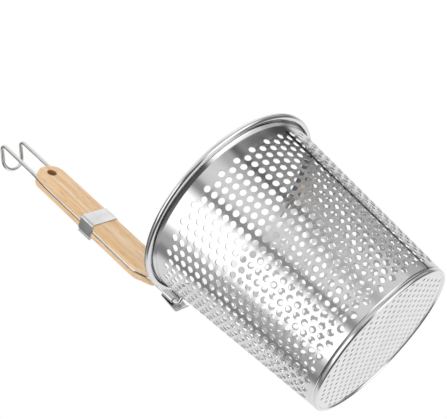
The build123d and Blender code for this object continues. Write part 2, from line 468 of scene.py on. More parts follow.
@dataclass(frozen=True)
class SeamGapShade:
    """Line where the two ends of the wall's sheet are lapped and welded together, painted near black: the black is
    painted shade in the gap between the lapped edges.
    """

    azimuth: float = 175.85
    lean: float = 27.6            # degrees round the wall for each metre of height
    half_width: float = 0.76      # degrees
    top: float = 128.0 * MM
    soft: float = 0.3             # share of the half width over which the line's edge fades
    # near black of the painted shade in the seam's gap
    colour: Colour = (0.015, 0.015, 0.015)

    def shows(self, shader: Shader, place: Socket) -> Quantity:
        """1 on the line, and 0 beside it and above it."""
        x, y, z = shader.split(place)
        off = y.maths("ARCTAN2", x) * math.degrees(1) + z * self.lean - self.azimuth
        inner, outer = self.half_width * (1 - self.soft), self.half_width * (1 + self.soft)
        return shader.spread(off.size(), 1.0, 0.0, inner, outer) * z.below(self.top)


@dataclass(frozen=True)
class Inside:
    """The inner face of the wall, which is duller than the outer one."""

    rougher: float = 0.3
    top: float = 130.0 * MM
    facing: float = -30.0 * MM    # radius times the share of the normal that points outwards

    def shows(self, shader: Shader, place: Socket) -> Quantity:
        """1 on the inner face, and 0 elsewhere."""
        x, y, z = shader.split(place)
        over, beside, _ = shader.split(shader.add("ShaderNodeNewGeometry").outputs["True Normal"])
        return (x * over + y * beside).below(self.facing) * z.below(self.top)


@dataclass(frozen=True)
class SteelFinish:
    """Bright steel with faint rolling marks, soft dents and handling smears."""

    name: str
    colour: Colour
    worn_colour: Colour
    smooth: float
    dull: float
    dent: float = 0.02 * MM
    dents_per_metre: float = 1 / (12.0 * MM)
    smears_per_metre: float = 45.0
    mark: float = 0.004 * MM
    mark_scale: Colour = (420.0, 420.0, 60.0)
    seam: SeamGapShade | None = None
    inside: Inside | None = None

    def make(self) -> Finish:
        """Builds the material."""
        shader = Shader(self.name)
        plain = shader.mapped((1.0, 1.0, 1.0))
        marks = shader.noise(shader.mapped(self.mark_scale), 1.0, detail=2.0)
        smears = shader.noise(plain, self.smears_per_metre, detail=4.0, rough=0.6)
        dents = shader.noise(plain, self.dents_per_metre, detail=1.0)
        colour = shader.mix(shader.spread(smears, 0.0, 1.0), self.colour, self.worn_colour)
        # the seam's line painted near black: painted shade in the gap between the lapped edges
        if self.seam:
            colour = shader.mix(self.seam.shows(shader, plain), colour, self.seam.colour)
        rough = shader.spread(smears, self.smooth, self.dull)
        if self.inside:
            rough = rough + self.inside.shows(shader, plain) * self.inside.rougher
        shader.set("Base Color", colour)
        shader.set("Roughness", rough)
        shader.set("Metallic", 1.0)
        dented = shader.bump(dents, self.dent, strength=0.6)
        shader.set("Normal", shader.bump(marks, self.mark, strength=0.35, before=dented))
        return shader.material


@dataclass(frozen=True)
class WoodFinish:
    """Pale wood with fine grain along the grip, darker pores and oiled sheen, with painted shade in and round the
    hanging hole.
    """

    name: str
    pale: Colour
    tan: Colour
    pore: Colour
    # bore: colour of the painted shade that darkens the hanging hole's walls and its rounded edge
    bore: Colour
    bore_place: float = 152.1 * MM
    bore_radius: float = 3.7 * MM
    # how far past the hole's walls the painted shade reaches
    hole_shade_margin: float = 0.5 * MM
    fibre_scale: Colour = (620.0, 620.0, 26.0)
    streak_scale: Colour = (150.0, 210.0, 9.0)
    pore_scale: Colour = (1300.0, 1300.0, 90.0)
    fibre_depth: float = 0.04 * MM
    pore_depth: float = 0.03 * MM

    def make(self, turn: Matrix, start: Vector) -> Finish:
        """Builds the material.

        Args:
            turn: the grip's axes, with its length along the third.
            start: the grip's origin.

        Returns:
            The material.
        """
        shader = Shader(self.name)
        fibres = shader.noise(shader.mapped(self.fibre_scale, turn, start), 1.0, detail=4.0, rough=0.65)
        streaks = shader.noise(shader.mapped(self.streak_scale, turn, start), 1.0)
        pores = shader.noise(shader.mapped(self.pore_scale, turn, start), 1.0, detail=2.0)
        body = shader.mix(shader.spread(streaks, 0.0, 1.0, 0.36, 0.64), self.pale, self.tan)
        lined = shader.mix(shader.spread(fibres, 0.0, 0.85, 0.47, 0.66), body, self.tan)
        pored = shader.mix(shader.spread(pores, 0.0, 0.75, 0.57, 0.72), lined, self.pore)
        _, across, along = shader.split(shader.mapped((1.0, 1.0, 1.0), turn, start))
        # painted shade in the hanging hole: its walls and rounded edge darkened towards the bore colour
        off_bore = length(across, along - self.bore_place)
        painted_hole_shade = shader.spread(off_bore, 0.85, 0.0, self.bore_radius, self.bore_radius + self.hole_shade_margin)
        shader.set("Base Color", shader.mix(painted_hole_shade, pored, self.bore))
        shader.set("Roughness", shader.spread(fibres, 0.48, 0.62))
        grooves = shader.bump(fibres, self.fibre_depth, strength=0.4)
        shader.set("Normal", shader.bump(pores, self.pore_depth, strength=0.3, before=grooves))
        return shader.material


# ---------------------------------------------------------------- basket


@dataclass
class Cone:
    """The basket's wall line, shared by the wall and the base."""

    base_radius: float = 56.7 * MM
    rim_radius: float = 74.93 * MM
    rim_height: float = 138.2 * MM
    bead_radius: float = 2.2 * MM
    flare_width: float = 5.53 * MM
    flare_drop: float = 4.3 * MM
    sheet: float = 0.7 * MM

    @property
    def shoulder(self) -> Vector:
        """Where the flare begins, outside, as (radius, height)."""
        return Vector((self.rim_radius - self.flare_width, self.rim_height - self.flare_drop))

    @property
    def slope(self) -> float:
        """Growth of the radius with height."""
        return (self.shoulder.x - self.base_radius) / self.shoulder.y

    @property
    def level(self) -> float:
        """The sheet's thickness, measured level."""
        return self.sheet / math.cos(math.atan(self.slope))

    def radius(self, height: float) -> float:
        """Outside radius at a height."""
        return self.base_radius + self.slope * height

    def outside(self, height: float) -> Vector:
        """Point of the outer surface."""
        return Vector((self.radius(height), height))

    def inside(self, height: float) -> Vector:
        """Point of the inner surface."""
        return Vector((self.radius(height) - self.level, height))


@dataclass
class Wall:
    """One sheet: perforated cone, plain bands, flared shoulder with rolled rim, and necked foot."""

    cone: Cone
    hole: float = 4.5 * MM
    hole_sides: int = 16
    holes_round: int = 34
    rows: int = 39
    top_row: float = 124.75 * MM
    row_spacing: float = 3.035 * MM
    first_azimuth: float = 5.96
    row_turn: float = 0.0695
    top_border: float = 128.6 * MM
    bottom_border: float = 6.0 * MM
    shoulder_bend: float = 3.0 * MM
    roll_end: float = -118.0
    roll_runs: int = 26
    step: float = 0.75 * MM
    seam: float = 3.05 * MM
    neck: float = 0.95 * MM
    neck_bends: tuple[float, float] = (0.9 * MM, 0.5 * MM)
    sharp: float = 35.0

    def perforated(self, finish: Finish) -> Piece:
        """The staggered perforation, by geometry nodes.

        Each hole has a lozenge of sheet round it, and the lozenges meet edge to edge. Teeth of
        plain sheet fill the zigzag above the first row and below the last. The band is closed at
        its holes and open at its two borders.
        """
        tree = ShapeTree("perforated_wall")
        around = tree.count("Holes Round", self.holes_round)
        rows = tree.count("Hole Rows", self.rows)
        sides = tree.count("Hole Sides", self.hole_sides)
        radius = tree.size("Hole Radius", self.hole / 2)
        top_row = tree.size("Top Row Height", self.top_row)
        spacing = tree.size("Row Spacing", self.row_spacing)
        first = tree.size("First Azimuth", math.radians(self.first_azimuth))
        row_turn = tree.size("Turn per Row", math.radians(self.row_turn))
        base = tree.size("Base Radius", self.cone.base_radius)
        slope = tree.size("Wall Slope", self.cone.slope)
        level = tree.size("Sheet", self.cone.level)
        top_border = tree.size("Top Border", self.top_border)
        bottom_border = tree.size("Bottom Border", self.bottom_border)
        pitch = tree.size("Full Turn", math.tau) / around

        def strip(count: Quantity) -> Socket:
            """A grid whose points know how far along and across it they are."""
            grid = tree.add("GeometryNodeMeshGrid", Size_X=1.0, Size_Y=1.0, Vertices_X=count, Vertices_Y=4)
            x, y, _ = tree.place()
            kept = tree.store(grid.outputs["Mesh"], "turn", x + 0.5)
            return tree.store(kept, "ring", ((y + 0.5) * 3.0 + 0.5).floor())

        def wrapped(geometry: Socket, azimuth: Quantity, height: Quantity) -> Socket:
            """Lays points on the cone: the first two rings outside, and the others inside."""
            reach = base + slope * height - level * inner
            return tree.move(geometry, reach * azimuth.cosine(), reach * azimuth.sine(), height)

        def numbered(count: Quantity) -> Socket:
            """Points that know their row and column."""
            line = tree.add("GeometryNodeMeshLine", {"mode": "OFFSET"}, Count=count).outputs[0]
            number = tree.index()
            kept = tree.store(line, "row", (number / around + 0.001).floor())
            return tree.store(kept, "column", number.rest(around))

        row, column = tree.stored("row"), tree.stored("column")
        turn, ring = tree.stored("turn"), tree.stored("ring")
        inner = ring.above(1.5)
        middle_ring = (ring - 1.5).size().above(1.0).flipped()

        # lozenges, each with its hole on the middle rings
        lozenges = tree.repeat(numbered(around * rows), strip(sides + 1.0))
        angle = turn * math.tau
        across, up = angle.cosine(), angle.sine()
        reach = across.size() + up.size()
        centre = top_row - spacing * row
        middle = first + (column + row.rest(2.0) * 0.5) * pitch + row_turn * row
        edge_azimuth = across / reach * pitch * 0.5 - row_turn * (up / reach)
        hole_azimuth = across * radius / (base + slope * centre)
        azimuth = middle + edge_azimuth.blend(hole_azimuth, middle_ring)
        height = centre + (up / reach * spacing).blend(up * radius, middle_ring)
        lozenges = wrapped(lozenges, azimuth, height)

        # teeth with their zigzag on the middle rings: row 0 above the perforation, row 1 below it
        cut = tree.without(strip(sides / 2.0 + 1.0), "FACE", (ring - 1.5).size().below(0.1))
        teeth = tree.repeat(numbered(around * 2.0), cut)
        angle = turn * math.pi
        across = angle.cosine()
        out = across / (across.size() + angle.sine().size())
        last = rows - 1.0
        odd = last.rest(2.0) * row
        border_row = (rows + 1.0) * row - 1.0
        zigzag_row = last * row + out.size() * (row * 2.0 - 1.0)
        this_row = border_row.blend(zigzag_row, middle_ring)
        azimuth = first + (column + 0.5 + odd * 0.5 + out * 0.5) * pitch + row_turn * this_row
        border = top_border.blend(bottom_border, row)
        height = border.blend(top_row - spacing * zigzag_row, middle_ring)
        teeth = wrapped(teeth, azimuth, height)

        return tree.bake("basket_wall_sheet", tree.join(lozenges, teeth), finish)

    def upper_line(self) -> list[Vector]:
        """Section of the plain band, flare and roll, from the outer surface round to the inner."""
        cone = self.cone
        centre = Vector((cone.rim_radius - cone.bead_radius, cone.rim_height))
        roll_inside = cone.bead_radius - cone.sheet
        reach = centre - cone.shoulder
        flare = math.atan2(reach.y, reach.x) + math.asin(roll_inside / reach.length)
        start, end = flare + math.pi / 2, math.radians(self.roll_end)

        def on_roll(radius: float, angle: float) -> Vector:
            """Point of the roll's section."""
            return centre + Vector((math.cos(angle), math.sin(angle))) * radius

        angles = [start + (end - start) * run / self.roll_runs for run in range(1, self.roll_runs + 1)]
        outer = rounded([cone.outside(self.top_border), cone.shoulder, on_roll(roll_inside, start)],
                        [self.shoulder_bend], 4.0)
        lean = math.atan(1 / cone.slope)
        crease, middle = lean - flare, (lean + flare) / 2
        across = Vector((-math.sin(middle), math.cos(middle))) * (cone.sheet / math.cos(crease / 2))
        inner = rounded([cone.inside(self.top_border), cone.shoulder + across, on_roll(cone.bead_radius, start)],
                        [self.shoulder_bend + cone.sheet], 4.0)
        under = [on_roll(roll_inside, angle) for angle in angles]
        over = [on_roll(cone.bead_radius, angle) for angle in angles]
        return outer + under + list(reversed(over)) + list(reversed(inner))

    def lower_line(self) -> list[Vector]:
        """Section of the plain band and the necked foot, from the outer surface round to the inner."""
        cone, step = self.cone, Vector((self.step, 0))
        corners = [cone.outside(self.bottom_border), cone.outside(self.seam + self.neck),
                   cone.outside(self.seam) - step, cone.outside(self.step) - step]
        outer = rounded(corners, list(self.neck_bends), 9.0)
        inner = [point - Vector((cone.level, 0)) for point in outer]
        return outer + list(reversed(inner))

    def azimuths(self, start: float) -> list[float]:
        """Azimuths of the teeth's border points, from the first column's on."""
        pitch, steps = math.tau / self.holes_round, self.hole_sides // 2
        angles = [math.pi * step / steps for step in range(steps)]
        outs = [math.cos(angle) / (abs(math.cos(angle)) + abs(math.sin(angle))) for angle in angles]
        return [start + (column + 0.5 - out * 0.5) * pitch for column in range(self.holes_round) for out in outs]

    def build(self, finish: Finish) -> None:
        """Builds the whole sheet in its finish."""
        piece = self.perforated(finish)
        mesh = opened(piece.data)
        start = math.radians(self.first_azimuth - self.row_turn)
        add_turned(mesh, self.upper_line(), self.azimuths(start))
        start += math.radians(self.row_turn * (self.rows + 1))
        add_turned(mesh, self.lower_line(), self.azimuths(start))
        finish_mesh(mesh, piece, SHEET_WELD, self.sharp)
        hand_over(piece, Node.WALL)


@dataclass
class Base:
    """Pressed pan: a perforated disc with its edge turned up and rounded over the wall's foot."""

    cone: Cone
    sheet: float = 0.7 * MM
    flange: float = 3.0 * MM
    corner: float = 1.3 * MM
    swell: float = 0.16 * MM
    belly: float = 0.6            # share of the flange's height where it swells most
    belly_bend: float = 1.0 * MM
    rise: float = 0.9 * MM
    riser_run: float = 0.6        # run of the slope up to the disc, for each unit of its rise
    foot_bends: tuple[float, float] = (0.2 * MM, 0.35 * MM)
    inner_bends: tuple[float, float, float] = (0.3 * MM, 0.15 * MM, 0.2 * MM)
    disc_radius: float = 54.0 * MM
    foot_inside: float = 54.9 * MM
    hole: float = 2.4 * MM
    hole_sides: int = 14
    pitch: float = 5.7 * MM
    lattice_turn: float = 53.6
    lattice_start: tuple[float, float] = (3.23 * MM, 2.27 * MM)
    margin: float = 0.25 * MM
    divisions: int = 180
    sharp: float = 35.0

    def disc(self, finish: Finish) -> Piece:
        """Both faces of the disc and the walls of its holes, open at its edge, by geometry nodes."""
        tree = ShapeTree("perforated_base")
        pitch = tree.size("Hole Pitch", self.pitch)
        radius = tree.size("Hole Radius", self.hole / 2)
        disc = tree.size("Disc Radius", self.disc_radius)
        margin = tree.size("Margin", self.margin)
        thick = tree.size("Sheet", self.sheet)
        turn = tree.size("Lattice Turn", math.radians(self.lattice_turn))
        start_x = tree.size("Lattice Start X", self.lattice_start[0])
        start_y = tree.size("Lattice Start Y", self.lattice_start[1])
        columns = (disc * 2.0 / pitch).floor() + 3.0
        span = (columns - 1.0) * pitch
        grid = tree.add("GeometryNodeMeshGrid", Size_X=span, Size_Y=span, Vertices_X=columns, Vertices_Y=columns)
        x, y, z = tree.place()
        cos, sin = turn.cosine(), turn.sine()
        points = tree.move(grid.outputs["Mesh"], start_x + x * cos - y * sin, start_y + x * sin + y * cos, z)
        points = tree.without(points, "POINT", length(x, y).above(disc - margin - radius))
        holes = tree.repeat(points, tree.circle(self.hole_sides, radius))
        sheet = tree.add("GeometryNodeFillCurve", {"mode": "TRIANGLES"},
                         Curve=tree.join(holes, tree.circle(self.divisions, disc))).outputs[0]
        up = tree.add("ShaderNodeCombineXYZ", Z=1.0).outputs[0]
        raised = tree.add("GeometryNodeExtrudeMesh", {"mode": "FACES"}, Mesh=sheet, Individual=False,
                          Offset=up, Offset_Scale=thick)
        on_edge = length(x, y).above(disc - margin * 0.3)
        walled = tree.without(raised.outputs["Mesh"], "FACE", tree.quantity(raised.outputs["Side"]) * on_edge)
        return tree.bake("base_pan", tree.join(sheet, walled), finish)

    def pan_line(self) -> list[Vector]:
        """Section of the pan outside the disc, from its underside round to its upper face."""
        cone, sheet = self.cone, self.sheet
        belly = cone.outside(self.flange * self.belly) + Vector((self.swell, 0))
        top = cone.outside(self.flange)
        riser = Vector((self.foot_inside - self.rise * self.riser_run, self.rise))
        under = [Vector((self.disc_radius, self.rise)), riser, Vector((self.foot_inside, 0)), cone.outside(0),
                 belly, top - Vector((sheet * 0.1, 0)), top - Vector((sheet, 0))]
        over = [top - Vector((sheet, 0)), cone.outside(sheet) - Vector((sheet, 0)),
                Vector((self.foot_inside + sheet * 0.5, sheet)), riser + Vector((sheet * 0.5, sheet)),
                Vector((self.disc_radius, self.rise + sheet))]
        outer_bends = [*self.foot_bends, self.corner, self.belly_bend, sheet * 0.45]
        return rounded(under, outer_bends, 10.0) + rounded(over, list(self.inner_bends), 20.0)[1:]

    def build(self, finish: Finish) -> None:
        """Builds the pan in its finish."""
        piece = self.disc(finish)
        mesh = opened(piece.data)
        bmesh.ops.translate(mesh, verts=mesh.verts, vec=(0, 0, self.rise))
        add_turned(mesh, self.pan_line(), [math.tau * turn / self.divisions for turn in range(self.divisions)])
        finish_mesh(mesh, piece, SHEET_WELD, self.sharp)
        hand_over(piece, Node.BASE)


# ---------------------------------------------------------------- handle


@dataclass
class HandleLine:
    """Frame of the handle: first axis outwards, second across the grip, third along it."""

    offset: float = 82.0 * MM
    height: float = 138.2 * MM
    splay: float = 2.0
    lean: float = 1.3
    twist: float = 12.2

    @property
    def axes(self) -> Matrix:
        """The three axes, as the columns of a matrix."""
        along = Vector((math.tan(math.radians(self.splay)), math.tan(math.radians(self.lean)), 1)).normalized()
        square = Vector((0, 1, 0)).cross(along).normalized()
        outward = Matrix.Rotation(math.radians(-self.twist), 3, along) @ square
        return Matrix((outward, along.cross(outward), along)).transposed()

    @property
    def start(self) -> Vector:
        """Origin of the frame, beside the rim."""
        return Vector((self.offset, 0, self.height))

    def at(self, outward: float, across: float, along: float) -> Vector:
        """Point given in the handle's frame."""
        return self.start + self.axes @ Vector((outward, across, along))


@dataclass
class HandleWire:
    """One hairpin of round wire, welded to the wall, with its closed end bent into a hook."""

    cone: Cone
    line: HandleLine
    radius: float = 1.47 * MM
    nominal: float = 1.5 * MM     # what the scales and the bracket are made to fit
    spacing: float = 18.5 * MM
    grip_spacing: float = 21.1 * MM
    spread_end: float = 146.0 * MM
    spread_run: float = 17.0 * MM
    neck_spacing: float = 10.0 * MM
    foot_drop: float = 6.5 * MM
    neck_start: float = 25.2 * MM
    neck_end: float = 36.3 * MM
    hook_corner: float = 206.5 * MM
    hook_reach: float = 23.45 * MM
    hook_angle: float = 26.4
    foot_bend: float = 3.5 * MM
    neck_bend: float = 15.0 * MM
    hook_bend: float = 3.5 * MM
    hook_end_bend: float = 9.0 * MM
    roundness: int = 4            # of the wire's section
    sharp: float = 40.0

    def leg(self, side: int) -> list[Vector]:
        """Corners of one leg, from the wall to the closed end of the hook."""
        neck, leg, wide = (side * s / 2 for s in (self.neck_spacing, self.spacing, self.grip_spacing))
        turn = self.line.at(0, neck, -self.foot_drop)
        reach = math.sqrt(self.cone.radius(turn.z) ** 2 - turn.y ** 2) - self.cone.sheet * 0.5
        back = self.hook_reach * math.sin(math.radians(self.hook_angle))
        out = self.hook_reach * math.cos(math.radians(self.hook_angle))
        return [
            Vector((reach, turn.y, turn.z)),
            turn,
            self.line.at(0, neck, self.neck_start),
            self.line.at(0, wide, self.neck_end),
            self.line.at(0, wide, self.spread_end),
            self.line.at(0, leg, self.spread_end + self.spread_run),
            self.line.at(0, leg, self.hook_corner),
            self.line.at(out, leg, self.hook_corner - back),
        ]

    def path(self) -> list[Vector]:
        """Centre line of the whole hairpin."""
        corners = self.leg(1) + list(reversed(self.leg(-1)))
        bends = [self.foot_bend] + [self.neck_bend] * 4 + [self.hook_bend, self.hook_end_bend]
        return rounded(corners, bends + list(reversed(bends)))

    def tube(self, name: str, radius: float, finish: Finish) -> Piece:
        """Round closed bar along the path, of the given radius."""
        points = self.path()
        curve = bpy.data.curves.new(name + "_line", "CURVE")
        curve.dimensions = "3D"
        spline = curve.splines.new("POLY")
        spline.points.add(len(points) - 1)
        for knot, point in zip(spline.points, points):
            knot.co = (*point, 1)
        curve.bevel_depth = radius
        curve.bevel_resolution = self.roundness
        curve.use_fill_caps = True
        swept = bpy.data.objects.new(name + "_line", curve)
        bpy.context.scene.collection.objects.link(swept)
        mesh = opened(made_mesh(swept))
        bpy.data.objects.remove(swept)
        piece = new_piece(name, finish)
        finish_mesh(mesh, piece, FINE_WELD, self.sharp)
        return piece

    def build(self, finish: Finish) -> None:
        """Builds the wire in its finish."""
        hand_over(self.tube("hairpin_wire", self.radius, finish), Node.WIRE)


@dataclass
class Scale:
    """One wooden scale: rounded outline and edges, grooved for the wire, with half of the hole."""

    side: Side
    line: HandleLine
    wire: HandleWire
    width: float = 24.1 * MM
    thickness: float = 5.15 * MM
    gap: float = 1.5 * MM
    start: float = 19.8 * MM
    end: float = 162.1 * MM
    end_corner: float = 11.0 * MM
    tip: float = 3.9 * MM
    tip_corner: float = 4.5 * MM
    shoulder: float = 34.5 * MM
    shoulder_bend: float = 13.0 * MM
    edge: float = 1.9 * MM
    inner_edge: float = 0.9 * MM
    groove: float = 0.1 * MM
    hole: float = 7.2 * MM
    hole_place: float = 152.1 * MM
    hole_sides: int = 40
    hole_edge: float = 0.6 * MM
    bore_past: float = 2.0 * MM   # how far the cutting bar sticks out of the wood
    bore_clear: float = 0.01 * MM  # how far above the wood its flare starts
    sharp: float = 35.0

    def outline(self) -> list[Vector]:
        """Outline across and along the handle, in order round it."""
        wide = self.width / 2
        corners = [(0, self.start), (self.tip, self.start), (wide, self.shoulder), (wide, self.end), (0, self.end)]
        bends = [self.tip_corner, self.shoulder_bend, self.end_corner]
        half = rounded([Vector(corner) for corner in corners], bends, 6.0)
        return half + [Vector((-point.x, point.y)) for point in reversed(half[1:-1])]

    def blank(self, finish: Finish) -> Piece:
        """The scale before it is grooved and bored."""
        piece = new_piece(f"{self.side.name.lower()}_wood_scale", finish)
        mesh = bmesh.new()
        low = self.side.value * self.gap / 2
        high = self.side.value * (self.gap / 2 + self.thickness)
        rings = [[mesh.verts.new(self.line.at(out, p.x, p.y)) for p in self.outline()] for out in (low, high)]
        bottom, top = (mesh.faces.new(ring) for ring in rings)
        join_rings(mesh, rings)
        bmesh.ops.recalc_face_normals(mesh, faces=mesh.faces)
        for face, offset, segments in ((top, self.edge, 6), (bottom, self.inner_edge, 3)):
            bmesh.ops.bevel(mesh, geom=list(face.edges), offset=offset, offset_type="OFFSET", segments=segments,
                            profile=0.5, affect="EDGES", clamp_overlap=False)
        fill(piece, mesh)
        return piece

    def bore(self, finish: Finish) -> Piece:
        """The round bar that cuts the hanging hole, flared where it leaves the wood."""
        face, radius = self.gap / 2 + self.thickness, self.hole / 2
        half = [(radius + self.hole_edge, -face - self.bore_past),
                (radius + self.hole_edge, -face - self.bore_clear), (radius, -face + self.hole_edge)]
        mesh = bmesh.new()
        rings = []
        for reach, out in half + [(reach, -out) for reach, out in reversed(half)]:
            angles = (math.tau * side / self.hole_sides for side in range(self.hole_sides))
            places = ((reach * math.cos(a), self.hole_place + reach * math.sin(a)) for a in angles)
            rings.append([mesh.verts.new(self.line.at(out, *place)) for place in places])
        join_rings(mesh, rings)
        for ring in (rings[0], rings[-1]):
            mesh.faces.new(ring)
        cutter = new_piece("bore", finish)
        finish_mesh(mesh, cutter, FINE_WELD, self.sharp)
        return cutter

    def build(self, finish: Finish) -> None:
        """Builds the scale in its finish."""
        piece = self.blank(finish)
        combine(piece, "DIFFERENCE", self.wire.tube("groove", self.wire.nominal + self.groove, finish))
        combine(piece, "DIFFERENCE", self.bore(finish))
        finish_mesh(opened(piece.data), piece, FINE_WELD, self.sharp)
        hand_over(piece, Node.OUTER_SCALE if self.side is Side.OUTER else Node.INNER_SCALE)


def add_strip(
    mesh: Mesh,
    line: list[Vector],
    sheet: float,
    span: tuple[float, float],
    place: Callable[[Vector, float], Vector],
    edge: float = 0.12 * MM,
) -> None:
    """Adds a bent strip of sheet with its long edges eased.

    Args:
        mesh: mesh that gets the strip.
        line: middle of the sheet, in the plane of the bends.
        sheet: its thickness.
        span: where the strip starts and ends, square to that plane.
        place: gives the point for a place in the plane and a distance square to it.
        edge: how much of each long edge is eased.
    """
    last = len(line) - 1
    squares = []
    for number in range(last + 1):
        ahead = (line[min(number + 1, last)] - line[max(number - 1, 0)]).normalized()
        squares.append(Vector((-ahead.y, ahead.x)))
    start, end = span
    rings = []
    for across, inset in ((start, edge), (start + edge, 0), (end - edge, 0), (end, edge)):
        half = sheet / 2 - inset
        section = [point + square * half for point, square in zip(line, squares)]
        section += [point - square * half for point, square in reversed(list(zip(line, squares)))]
        rings.append([mesh.verts.new(place(point, across)) for point in section])
    join_rings(mesh, rings)
    for ring in (rings[0], rings[-1]):
        for number in range(last):
            mesh.faces.new([ring[number], ring[number + 1], ring[-2 - number], ring[-1 - number]])


@dataclass
class Band:
    """Strip of sheet round both scales, its end lapped on the outer face and sprung off it."""

    line: HandleLine
    sheet: float = 0.6 * MM
    start: float = 83.95 * MM
    end: float = 98.15 * MM
    half_depth: float = 6.0 * MM
    half_width: float = 12.15 * MM
    corner: float = 2.2 * MM
    under: float = -2.6 * MM
    lap: float = -3.8 * MM
    lap_run: float = 1.8 * MM
    lap_gap: float = 0.03 * MM
    lap_bend: float = 1.0 * MM
    lip: float = 10.3 * MM
    lip_reach: float = 2.1 * MM
    lip_angle: float = 35.0
    lip_bend: float = 1.2 * MM
    sharp: float = 30.0

    def section(self) -> list[Vector]:
        """Middle of the sheet, outwards and across the grip."""
        face, side = self.half_depth + self.sheet / 2, self.half_width + self.sheet / 2
        over = face + self.sheet + self.lap_gap
        angle = math.radians(self.lip_angle)
        lip = Vector((over, self.lip)) + Vector((math.sin(angle), math.cos(angle))) * self.lip_reach
        corners = [(face, self.under), (face, side), (-face, side), (-face, -side), (face, -side),
                   (face, self.lap - self.lap_run), (over, self.lap), (over, self.lip), tuple(lip)]
        bends = [self.corner] * 4 + [self.lap_bend] * 2 + [self.lip_bend]
        return rounded([Vector(corner) for corner in corners], bends, 9.0)

    def build(self, finish: Finish) -> None:
        """Builds the band in its finish."""
        piece = new_piece("wrapped_band", finish)
        mesh = bmesh.new()
        add_strip(mesh, self.section(), self.sheet, (self.start, self.end),
                  lambda point, along: self.line.at(point.x, point.y, along))
        finish_mesh(mesh, piece, FINE_WELD, self.sharp)
        hand_over(piece, Node.BAND)


@dataclass
class Bracket:
    """Sheet whose edges curl round both legs, folded at the top into a plate that leans away."""

    line: HandleLine
    wire: HandleWire
    sheet: float = 0.8 * MM
    clearance: float = 0.1 * MM
    curl: float = 300.0
    curl_step: float = 12.0
    top: float = 8.9 * MM
    clasp: float = -1.5 * MM
    fold: float = 0.72 * MM
    ledge: float = 1.6 * MM
    half_width: float = 6.2 * MM
    foot: tuple[float, float] = (5.5 * MM, -7.3 * MM)
    foot_bend: float = 1.6 * MM
    lobe: tuple[float, float] = (3.9 * MM, -8.5 * MM)
    plate_root: float = 3.0 * MM  # how far the plate reaches down into the sheet
    plate_share: float = 0.94     # the plate is a little thinner, so that no faces coincide
    sharp: float = 30.0

    @property
    def face(self) -> float:
        """Distance of the sheet's middle from the legs' middle."""
        return self.wire.nominal + self.clearance + self.sheet / 2

    def clasps(self) -> list[Vector]:
        """Middle of the sheet round both legs, outwards and across."""
        leg = Vector((0, self.wire.neck_spacing / 2))
        steps = round(self.curl / self.curl_step)
        angles = [math.radians(self.curl - self.curl_step * step) for step in range(steps + 1)]
        curl = [Vector((math.cos(a), math.sin(a))) * self.face + leg for a in angles]
        return curl + [Vector((point.x, -point.y)) for point in reversed(curl)]

    def plate(self) -> list[Vector]:
        """Middle of the folded plate, outwards and along."""
        corners = [(self.face, self.top - self.plate_root), (self.face, self.top),
                   (self.face + self.ledge, self.top), self.foot, self.lobe]
        return rounded([Vector(corner) for corner in corners], [self.fold, self.fold, self.foot_bend], 12.0)

    def build(self, finish: Finish) -> None:
        """Builds the bracket in its finish."""
        piece, plate = new_piece("folded_rim_bracket", finish), new_piece("plate", finish)
        mesh = bmesh.new()
        add_strip(mesh, self.clasps(), self.sheet, (self.clasp, self.top - self.fold),
                  lambda point, along: self.line.at(point.x, point.y, along))
        fill(piece, mesh)
        mesh = bmesh.new()
        add_strip(mesh, self.plate(), self.sheet * self.plate_share, (-self.half_width, self.half_width),
                  lambda point, across: self.line.at(point.x, across, point.y))
        fill(plate, mesh)
        combine(piece, "UNION", plate)
        finish_mesh(opened(piece.data), piece, FINE_WELD, self.sharp)
        hand_over(piece, Node.BRACKET)


# ---------------------------------------------------------------- studio


@dataclass
class Camera:
    """The photograph's camera: below the base, behind the basket, and rolled."""

    place: Vector = field(default_factory=lambda: Vector((-208.28, 471.41, -114.74)) * MM)
    right: Vector = field(default_factory=lambda: Vector((-0.47907, -0.57993, -0.65892)))
    forward: Vector = field(default_factory=lambda: Vector((0.37327, -0.81401, 0.44504)))
    focal_pixels: float = 839.43
    middle: tuple[float, float] = (221.77, 211.03)

    def build(self) -> None:
        """Puts the camera into the scene."""
        lens = bpy.data.cameras.new("camera")
        lens.sensor_width = 36.0
        lens.lens = self.focal_pixels / PHOTO_WIDTH * lens.sensor_width
        lens.shift_x = (PHOTO_WIDTH / 2 - self.middle[0]) / PHOTO_WIDTH
        lens.shift_y = (self.middle[1] - PHOTO_HEIGHT / 2) / PHOTO_WIDTH
        lens.clip_start, lens.clip_end = 0.01, 50.0
        camera = bpy.data.objects.new("camera", lens)
        bpy.context.scene.collection.objects.link(camera)
        forward = self.forward.normalized()
        right = (self.right - forward * self.right.dot(forward)).normalized()
        turn = Matrix((right, right.cross(forward), -forward)).transposed()
        camera.matrix_world = Matrix.Translation(self.place) @ turn.to_4x4()
        bpy.context.scene.camera = camera
        log.info("camera: %.1f mm lens", lens.lens)


@dataclass(frozen=True)
class Panel:
    """A soft panel or a dark flag that stands round the object, seen only in bright metal.

    Azimuth, width, heights and soft edges are in degrees.
    """

    azimuth: float
    width: float
    level: float
    low: float = -6.0
    high: float = 27.0
    soft: float = 6.0
    soft_ends: float = 8.0


